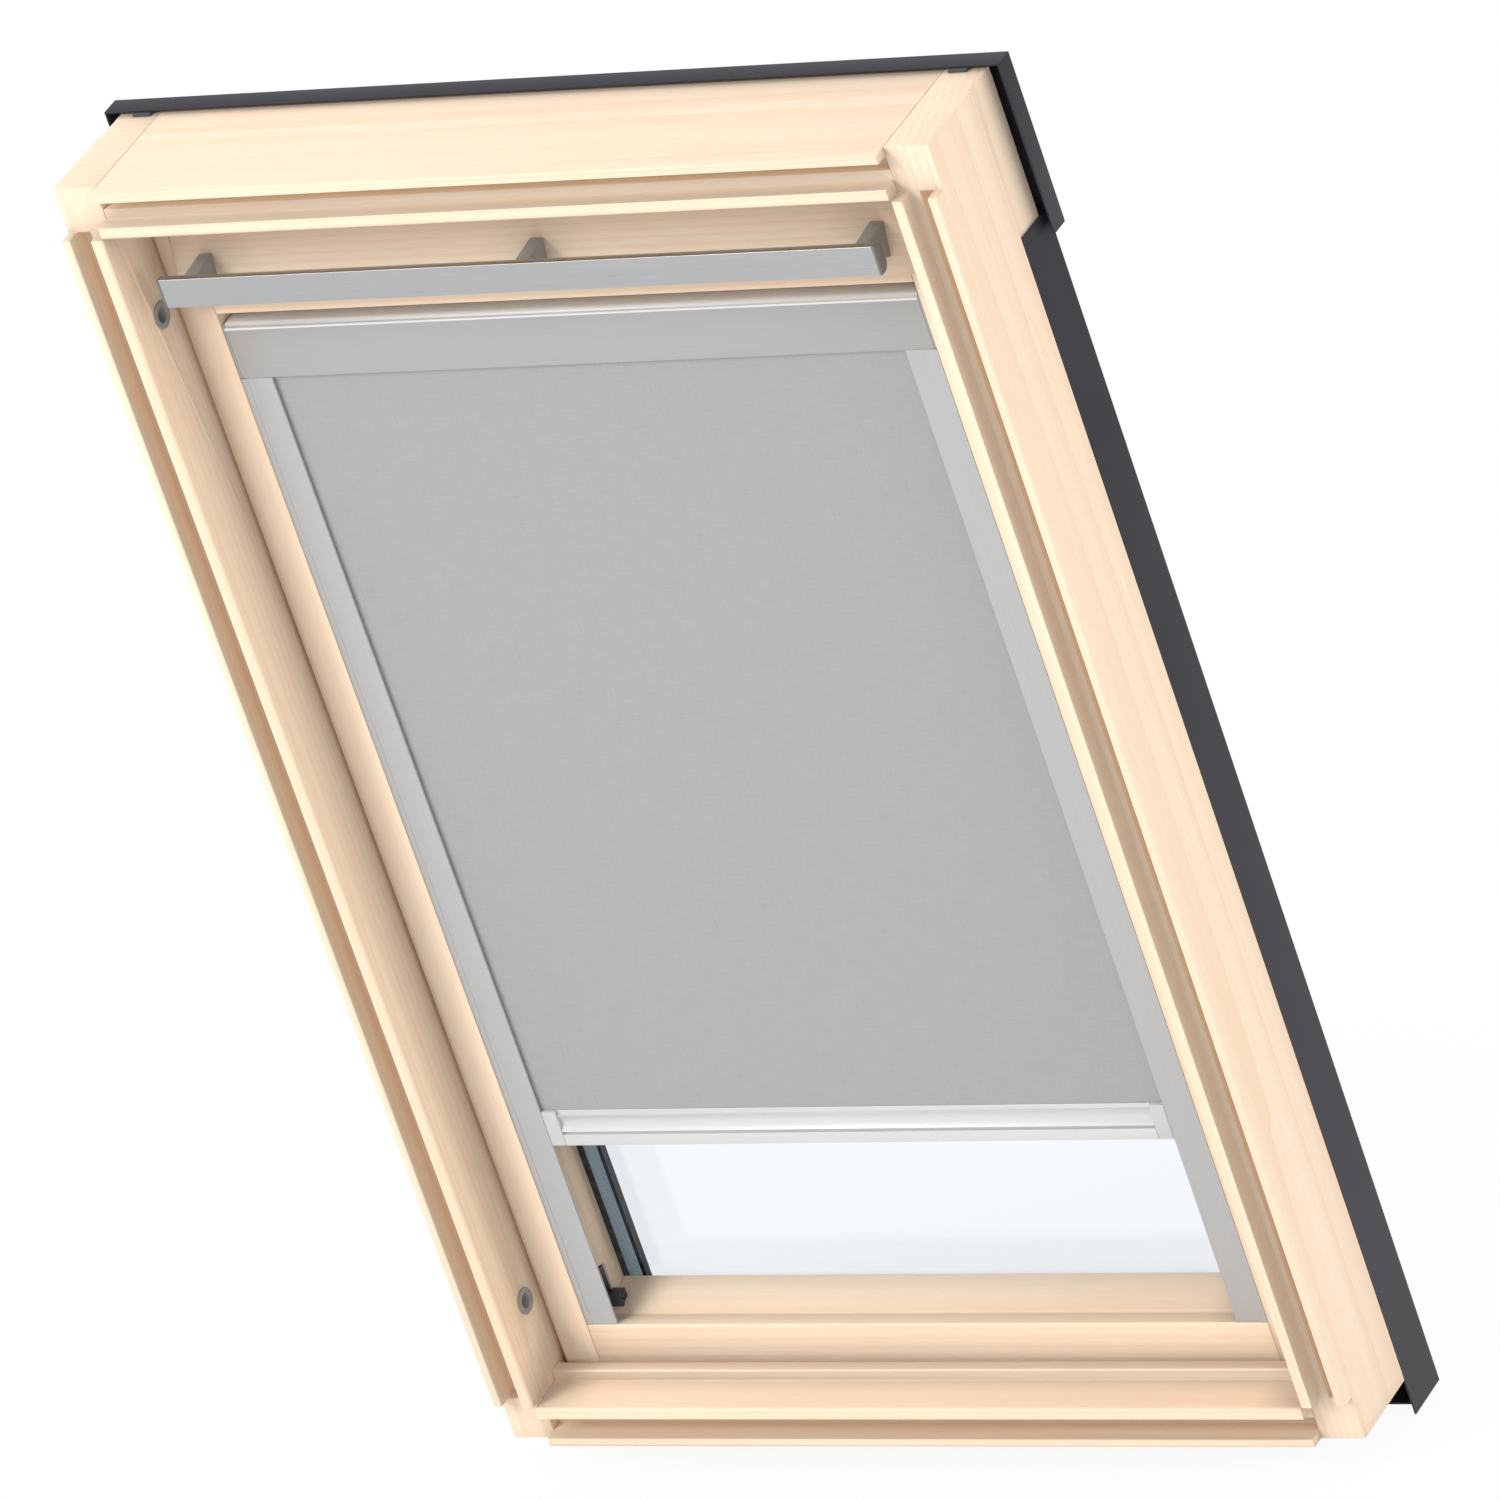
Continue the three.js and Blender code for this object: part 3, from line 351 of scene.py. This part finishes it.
def cladding_look():
    """Dark grey lacquered sheet with a fine powder texture."""
    look = Look("cladding_lacquer", Metallic=0.0, Roughness=0.5, Specular_IOR_Level=0.25)
    peel = look.noise(look.place, PEEL_CELLS)
    cloud = look.noise(look.place, LACQUER_CLOUD_CELLS)
    look.colour(look.mixed(look.middle(cloud), tone(44, 44, 51), tone(50, 50, 57)))
    look.roughness(look.middle(peel, 0.42, 0.56))
    look.relief(peel, PEEL_DEPTH, 0.5)
    return look.material


def brushed_look(name, light, dark, rough):
    """Anodised aluminium with brush lines along X."""
    look = Look(name, Metallic=1.0, Roughness=rough)
    drawn = look.along("X", METAL_RUN)
    lines = look.noise(drawn, BRUSH_CELLS, 3.0)
    cloud = look.noise(drawn, BRUSH_CLOUD_CELLS)
    base = look.mixed(look.middle(lines), dark, light)
    look.colour(look.mixed(look.middle(cloud, 0.0, 0.35), base, light))
    look.roughness(look.spread(lines, 0.25, 0.75, rough - 0.06, rough + 0.06))
    look.relief(lines, METAL_DEPTH, 0.35)
    return look.material


def satin_base(name, grain, light, dark):
    """A satin lacquered aluminium profile: its look, the colour of its draw lines, and its flecks."""
    look = Look(name, Metallic=0.2, Roughness=0.4, Specular_IOR_Level=0.4)
    lines = look.noise(look.along(grain, METAL_RUN), DRAW_LINE_CELLS)
    flecks = look.noise(look.place, FLECK_CELLS, 1.0)
    look.roughness(look.middle(flecks, 0.36, 0.46))
    look.relief(flecks, METAL_DEPTH, 0.4)
    return look, look.mixed(look.middle(lines), dark, light), flecks


def satin_look(name, grain, light, dark):
    """Satin grey lacquer on an aluminium profile, with faint draw lines along it."""
    look, drawn, flecks = satin_base(name, grain, light, dark)
    look.colour(look.mixed(look.spread(flecks, 0.45, 0.75, 0.0, 0.35), drawn, dark))
    return look.material


def headbox_look():
    """The headbox profile's satin lacquer, with painted light on its top: faces that point up are lightened
    towards near white.
    """
    look, drawn, _ = satin_base("headbox_finish", "X", tone(178, 179, 179), tone(172, 173, 173))
    # Painted light: the more a face points up, the nearer its colour goes to near white
    facing = look.split(look.add("NewGeometry", {}).outputs["Normal"])["Z"]
    look.colour(look.mixed(look.spread(facing, 0.25, 0.8), drawn, tone(246, 247, 248)))
    return look.material


def plastic_look(name, light, dark, rough=0.5):
    """Moulded plastic with a fine spark-eroded grain."""
    look = Look(name, Roughness=rough, Specular_IOR_Level=0.4)
    grain = look.noise(look.place, SPARK_CELLS)
    look.colour(look.mixed(look.spread(grain, 0.35, 0.65), dark, light))
    look.roughness(look.middle(grain, rough - 0.06, rough + 0.06))
    look.relief(grain, SPARK_DEPTH, 0.4)
    return look.material


def rubber_look():
    """Black seal rubber, slightly dusty."""
    look = Look("seal_rubber_finish", Roughness=0.75, Specular_IOR_Level=0.3)
    dust = look.noise(look.place, DUST_CELLS, 4.0)
    look.colour(look.mixed(look.spread(dust, 0.4, 0.8), tone(44, 46, 48), tone(70, 72, 74)))
    look.relief(look.noise(look.place, RUBBER_CELLS), RUBBER_DEPTH, 0.4)
    return look.material


def steel_look():
    """Zinc plated steel with its spangled, faintly mottled sheen."""
    look = Look("zinc_steel", Metallic=1.0, Roughness=0.34)
    mottle = look.noise(look.place, MOTTLE_CELLS, 4.0)
    look.colour(look.mixed(look.middle(mottle), tone(168, 170, 174), tone(204, 205, 206)))
    look.roughness(look.spread(mottle, 0.2, 0.8, 0.26, 0.44))
    look.relief(mottle, MOTTLE_DEPTH, 0.3)
    return look.material


def glass_look():
    """Clear float glass, faintly blue."""
    look = Look("float_glass", Roughness=0.0, IOR=1.45, Transmission_Weight=1.0)
    drift = look.noise(look.place, GLASS_DRIFT_CELLS, 1.0)
    look.colour(look.mixed(look.middle(drift), tone(250, 252, 255), tone(252, 254, 255)))
    return look.material


def spacer_look():
    """The folded metal edge of the sealed glass unit."""
    look = Look("spacer_metal", Metallic=0.85, Roughness=0.42)
    lines = look.noise(look.place, SPACER_CELLS)
    look.colour(look.mixed(look.middle(lines), tone(118, 132, 138), tone(150, 163, 168)))
    look.relief(lines, SPACER_DEPTH, 0.4)
    return look.material


def fleece_look():
    """Grey filter fleece of fine tangled fibres."""
    look = Look("filter_fleece", Roughness=0.95, Sheen_Weight=0.25)
    tangle = look.noise(look.place, TANGLE_CELLS, 4.0, 1.2)
    clump = look.noise(look.place, CLUMP_CELLS, 3.0)
    fibres = look.mixed(look.spread(tangle, 0.35, 0.7), tone(84, 86, 88), tone(132, 134, 136))
    look.colour(look.mixed(look.middle(clump, 0.0, 0.4), fibres, tone(96, 98, 100)))
    look.relief(tangle, TANGLE_DEPTH, 0.7)
    return look.material


def blackout_look():
    """Coated blackout cloth in a fine plain weave."""
    look = Look("blackout_weave", Roughness=0.86, Specular_IOR_Level=0.3, Sheen_Weight=0.08)
    split = look.split(look.place)
    turn = 2 * math.pi / YARN_PITCH
    warp = look.sum("SINE", look.sum("MULTIPLY", split["X"], turn), 0.0)
    weft = look.sum("SINE", look.sum("MULTIPLY", split["Z"], turn), 0.0)
    weave = look.spread(look.sum("MULTIPLY", warp, weft), -1.0, 1.0)
    slub_run = look.noise(look.along("X", SLUB_RUN), SLUB_CELLS)
    slub_fall = look.noise(look.along("Z", SLUB_RUN), SLUB_CELLS)
    slubs = look.sum("MULTIPLY", look.sum("ADD", slub_run, slub_fall), 0.5)
    yarn = look.mixed(look.spread(slubs, 0.35, 0.65), tone(164, 164, 165), tone(173, 173, 174))
    look.colour(look.mixed(look.spread(weave, 0.0, 1.0, 0.0, 0.22), yarn, tone(154, 154, 155)))
    look.relief(look.sum("ADD", weave, slubs), WEAVE_DEPTH, 0.5)
    return look.material


looks = {
    "cladding": cladding_look(),
    "clip_plastic": plastic_look("clip_plastic_finish", tone(78, 78, 81), tone(66, 66, 69)),
    "seal_rubber": rubber_look(),
    "steel": steel_look(),
    "grey_plastic": plastic_look("grey_plastic_finish", tone(150, 151, 149), tone(138, 139, 137)),
    "glass": glass_look(),
    "filter_foam": fleece_look(),
    "bar_aluminium": brushed_look("bar_aluminium_finish", tone(190, 191, 192), tone(180, 181, 182), 0.32),
    "blind_aluminium": satin_look("blind_aluminium_finish", "X", tone(178, 179, 179), tone(172, 173, 173)),
    "blackout_fabric": blackout_look(),
}
pine_across = pine_look("pine_along_x", "X", PITH_ACROSS)
pine_up = pine_look("pine_along_z", "Z", PITH_UP)
channel_finish = satin_look("channel_finish", "Z", tone(189, 190, 191), tone(182, 183, 184))
headbox_finish = headbox_look()
# Painted highlight: a near-white finish for the bead, standing in for the highlight along the headbox's top
# front edge
bead_painted_highlight = plastic_look("bead_painted_highlight", tone(240, 241, 242), tone(234, 235, 236), 0.3)
bar_end_finish = plastic_look("bar_end_finish", tone(120, 121, 122), tone(110, 111, 112), 0.45)
grip_finish = satin_look("bottom_bar_finish", "X", tone(218, 219, 219), tone(211, 212, 212))
grip_cap_finish = plastic_look("bottom_bar_cap_finish", tone(206, 207, 207), tone(196, 197, 197), 0.4)
spacer_finish = spacer_look()
bolt_finish = brushed_look("bolt_finish", tone(92, 95, 100), tone(72, 75, 80), 0.35)


# Pieces


def slot_of(name):
    """The record's material slot of a CAD node, which names its CAD material."""
    return nodes[name].data.materials[0].name.split(".")[0]


def placed(name, data):
    """A new object in the scene."""
    thing = bpy.data.objects.new(name, data)
    bpy.context.scene.collection.objects.link(thing)
    return thing


def made(name, mesh, look, slot, body):
    """A new piece that rides on a body."""
    piece = placed(name, mesh)
    mesh.materials.clear()
    mesh.materials.append(look)
    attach(piece, body)
    return piece


def fill(mesh, form):
    """Puts a finished form into a mesh."""
    form.to_mesh(mesh)
    form.free()
    return mesh


def cleaned(name):
    """A copy of a CAD node's mesh with its flat faces whole again."""
    mesh = nodes[name].data.copy()
    form = bmesh.new()
    form.from_mesh(mesh)
    bmesh.ops.remove_doubles(form, verts=form.verts, dist=WELD)
    bmesh.ops.dissolve_limit(form, angle_limit=FLAT_ANGLE, verts=form.verts, edges=form.edges)
    return fill(mesh, form)


def round_edges(piece, width):
    """Rounds a piece's sharp edges and keeps its flat faces flat."""
    piece.data.polygons.foreach_set("use_smooth", [True] * len(piece.data.polygons))
    bevel = piece.modifiers.new("rounded_edges", "BEVEL")
    bevel.width = width
    bevel.segments = EDGE_STEPS
    bevel.limit_method = "ANGLE"
    bevel.angle_limit = SHARP_ANGLE
    bevel.use_clamp_overlap = False
    bevel.harden_normals = True


def finished(name, look, width):
    """A CAD node with rounded edges and a finish, in place of the plain one."""
    body = nodes[name]["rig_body"]
    piece = made(name + "_finished", cleaned(name), look, slot_of(name), body)
    if width > 0:
        round_edges(piece, width)
    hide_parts(name)


UPRIGHT = ("frame_jamb_left", "frame_jamb_right", "sash_stile_left", "sash_stile_right")
EDGE_WIDTHS = {
    "pine": 0.6 * MM,
    "cladding": 0.25 * MM,
    "clip_plastic": 0.3 * MM,
    "seal_rubber": 0.3 * MM,
    "steel": 0.25 * MM,
    "grey_plastic": 0.4 * MM,
    "glass": 0.0,
    "filter_foam": 0.8 * MM,
    "bar_aluminium": 0.35 * MM,
    "blind_aluminium": 0.25 * MM,
}
OWN_LOOKS = {
    "blind_channel_left": channel_finish,
    "blind_channel_right": channel_finish,
    "headbox_cover": headbox_finish,
    "bar_end_left": bar_end_finish,
    "bar_end_right": bar_end_finish,
    "headbox_end_left": looks["blind_aluminium"],
    "headbox_end_right": looks["blind_aluminium"],
    "blind_bottom_bar": grip_finish,
    "blind_glide_left": grip_cap_finish,
    "blind_glide_right": grip_cap_finish,
    "glass_spacer": spacer_finish,
    "barrel_bolt": bolt_finish,
}


def look_of(name, slot):
    """The finish of a node, with pine's grain along the member."""
    if slot == "pine":
        return pine_up if name in UPRIGHT else pine_across
    return OWN_LOOKS.get(name) or looks[slot]


def dress_nodes():
    """Gives every hard node its rounded, finished piece."""
    for name in sorted(nodes):
        slot = slot_of(name)
        if slot != "blackout_fabric":
            finished(name, look_of(name, slot), EDGE_WIDTHS[slot])


def cloth_mesh(low, high):
    """The flat cloth: a wide part that hangs, and a narrow end that runs on to the roller."""
    form = bmesh.new()
    columns = round((high.x - low.x) / FABRIC_CELL)
    middle = (low.y + high.y) / 2
    wide = (high.x - low.x) / 2
    narrow = wide - FABRIC_INSET
    rows = ((low.z, wide), (FABRIC_HANG, wide), (FABRIC_HANG + FABRIC_TAPER, narrow), (high.z, narrow))
    grid = []
    for height, half in rows:
        line = []
        for column in range(columns + 1):
            share = 2 * column / columns - 1
            line.append(form.verts.new((half * share, middle, height)))
        grid.append(line)
    for lower, upper in zip(grid, grid[1:]):
        for column in range(columns):
            form.faces.new((lower[column], lower[column + 1], upper[column + 1], upper[column]))
    return fill(bpy.data.meshes.new("blackout_cloth"), form)


def dress_fabric():
    """The blackout cloth, one flat stretched sheet from the roller to the bottom bar.

    Between the headbox and the bar it has no rows of its own, so it stays flat however far the bar goes.
    """
    low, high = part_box("blind_fabric")
    mesh = cloth_mesh(low, high)
    mesh.materials.append(looks["blackout_fabric"])
    cloth = placed("blackout_cloth", mesh)
    thick = cloth.modifiers.new("thickness", "SOLIDIFY")
    thick.thickness = (high.y - low.y) * FABRIC_FILL
    thick.offset = 0.0
    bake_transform(cloth)
    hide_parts("blind_fabric")


def dress_roll():
    """The cloth wound on the roller, with the sharp edges of a tight winding."""
    finished("fabric_roll", looks["blackout_fabric"], 0.0)


def skin(form, first, second):
    """Joins two rings of points with a band of faces."""
    count = len(first)
    for step in range(count):
        after = (step + 1) % count
        form.faces.new((first[step], first[after], second[after], second[step]))


def dress_headbox():
    """The fine bead that runs along the top front edge of the headbox cover, near white to paint that
    edge's highlight.
    """
    low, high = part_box("headbox_cover")
    form = bmesh.new()
    ends = []
    for x in (low.x, high.x):
        ring = []
        for step in range(BEAD_STEPS):
            turn = 2 * math.pi * step / BEAD_STEPS
            y = low.y + BEAD_RADIUS * math.cos(turn)
            z = high.z - BEAD_DROP + BEAD_RADIUS * math.sin(turn)
            ring.append(form.verts.new((x, y, z)))
        ends.append(ring)
    skin(form, ends[0], ends[1])
    form.faces.new(ends[0])
    form.faces.new(list(reversed(ends[1])))
    bmesh.ops.recalc_face_normals(form, faces=form.faces)
    mesh = fill(bpy.data.meshes.new("headbox_painted_highlight_bead"), form)
    bead = made("headbox_painted_highlight_bead", mesh, bead_painted_highlight, "blind_aluminium", nodes["headbox_cover"]["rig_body"])
    round_edges(bead, BEAD_EDGE)


def screw_mesh():
    """A flat screw head with a cross recess, about its own Z axis."""
    form = bmesh.new()
    rims = []
    outline = ((SCREW_RADIUS, -SCREW_SINK), (SCREW_RADIUS, SCREW_SHOULDER), (SCREW_TOP_RADIUS, SCREW_RISE))
    for radius, height in outline:
        rim = []
        for step in range(SCREW_STEPS):
            turn = 2 * math.pi * step / SCREW_STEPS
            rim.append(form.verts.new((radius * math.cos(turn), radius * math.sin(turn), height)))
        rims.append(rim)
    corners = []
    for quarter in range(4):
        turn = Matrix.Rotation(quarter * math.pi / 2, 3, "Z")
        for x, y in ((CROSS_SHORT, CROSS_SHORT), (CROSS_SHORT, CROSS_LONG), (-CROSS_SHORT, CROSS_LONG)):
            corners.append(turn @ Vector((x, y, 0.0)))
    crosses = []
    for height in (SCREW_RISE, -CROSS_SINK):
        crosses.append([form.verts.new((corner.x, corner.y, height)) for corner in corners])
    for first, second in (rims[:2], rims[1:], crosses):
        skin(form, first, second)
    form.faces.new(rims[0])
    form.faces.new(crosses[1])
    edges = [edge for edge in form.edges if len(edge.link_faces) == 1]
    bmesh.ops.triangle_fill(form, edges=edges, use_beauty=True)
    bmesh.ops.recalc_face_normals(form, faces=form.faces)
    return fill(bpy.data.meshes.new("screw_head"), form)


def dress_plate(name, points, facing):
    """Screw heads along a plate, each at a point of its face and turned outwards."""
    turn = Vector(facing).to_track_quat("Z", "Y").to_matrix().to_4x4()
    for number, point in enumerate(points, 1):
        mesh = screw_mesh()
        mesh.transform(Matrix.Translation(Vector(point)) @ turn)
        made(name + "_screw_" + str(number), mesh, looks["steel"], "steel", nodes[name]["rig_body"])


def dress_plates():
    """The screws of the hinge plates, the lock's case and its plate on the frame."""
    plates = (("hinge_plate_frame_", FRAME_PLATE_FACE, -1), ("hinge_plate_sash_", SASH_PLATE_FACE, 1))
    for side, sign in (("left", -1), ("right", 1)):
        for plate, face, outward in plates:
            low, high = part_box(plate + side)
            middle = (low + high) / 2
            points = [(sign * face, middle.y, middle.z + up * HINGE_SCREW_RISE) for up in (-1, 1)]
            dress_plate(plate + side, points, (sign * outward, 0, 0))
    for name, end, facing in (("lock_striker", 0, -1), ("lock_case", 1, 1)):
        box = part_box(name)
        middle = (box[0].y + box[1].y) / 2
        points = [(sign * LOCK_SCREW_SPAN, middle, box[end].z) for sign in (-1, 1)]
        dress_plate(name, points, (0, 0, facing))


dress_nodes()
dress_plates()
dress_headbox()
dress_fabric()
dress_roll()


# Stage


def add_camera():
    """The camera at the photograph's viewing angle."""
    azimuth = math.radians(CAMERA_AZIMUTH)
    elevation = math.radians(CAMERA_ELEVATION)
    flat = math.cos(elevation)
    back = Vector((math.sin(azimuth) * flat, -math.cos(azimuth) * flat, math.sin(elevation)))
    data = bpy.data.cameras.new("camera")
    data.sensor_width = SENSOR_WIDTH
    data.lens = SENSOR_WIDTH * FOCAL_PIXELS / PHOTO_WIDTH
    data.clip_end = CAMERA_REACH
    camera = placed("camera", data)
    turn = back.to_track_quat("Z", "Y").to_matrix().to_4x4()
    roll = Matrix.Rotation(math.radians(CAMERA_ROLL), 4, "Z")
    place = Vector(CAMERA_AIM) + back * CAMERA_DISTANCE
    camera.matrix_world = Matrix.Translation(place) @ turn @ roll
    bpy.context.scene.camera = camera


def add_floor():
    """A white floor that keeps the object's soft shadow and is plain white away from it."""
    form = bmesh.new()
    bmesh.ops.create_grid(form, x_segments=1, y_segments=1, size=FLOOR_SIZE / 2)
    mesh = fill(bpy.data.meshes.new("floor"), form)
    floor = placed("floor", mesh)
    low, high = cad_box
    floor.location = ((low.x + high.x) / 2, (low.y + high.y) / 2, low.z)
    look = Look("floor_paint", Roughness=0.9, Specular_IOR_Level=0.1)
    look.colour(tone(FLOOR_GREY, FLOOR_GREY, FLOOR_GREY))
    away = look.add("VectorMath", {0: look.place}, operation="LENGTH").outputs["Value"]
    core = FLOOR_SHADOW_CORE * FLOOR_SHADOW_REACH
    plain = look.spread(away, core, FLOOR_SHADOW_REACH, 1.0 - FLOOR_SHADOW_SHARE)
    white = look.add("Emission", {"Color": WHITE, "Strength": 1.0}).outputs["Emission"]
    share = look.sum("MULTIPLY", plain, look.seen_rays())
    mix = look.add("MixShader", {0: share, 1: look.shader.outputs["BSDF"], 2: white}).outputs["Shader"]
    look.feed(look.tree.nodes["Material Output"].inputs["Surface"], mix)
    mesh.materials.append(look.material)


def add_world():
    """An even pale sky that is plain white where the camera, gloss or glass sees it."""
    world = bpy.data.worlds.new("studio")
    world.use_nodes = True
    bpy.context.scene.world = world
    graph = Graph(world.node_tree)
    sky = graph.tree.nodes["Background"]
    graph.feed(sky.inputs["Color"], WHITE)
    graph.feed(sky.inputs["Strength"], graph.spread(graph.seen_rays(), 0.0, 1.0, AMBIENT))


def add_lamp(name, place, size, power):
    """A square soft box that faces the object."""
    data = bpy.data.lights.new(name, "AREA")
    data.shape = "SQUARE"
    data.size = size
    data.energy = power
    lamp = placed(name, data)
    lamp.location = place
    away = Vector(place) - Vector(CAMERA_AIM)
    lamp.rotation_euler = away.to_track_quat("Z", "Y").to_euler()


add_camera()
add_floor()
add_world()
add_lamp("key_light", KEY_PLACE, KEY_SIZE, KEY_POWER)
add_lamp("fill_light", FILL_PLACE, FILL_SIZE, FILL_POWER)
bpy.context.scene.view_settings.view_transform = "Standard"
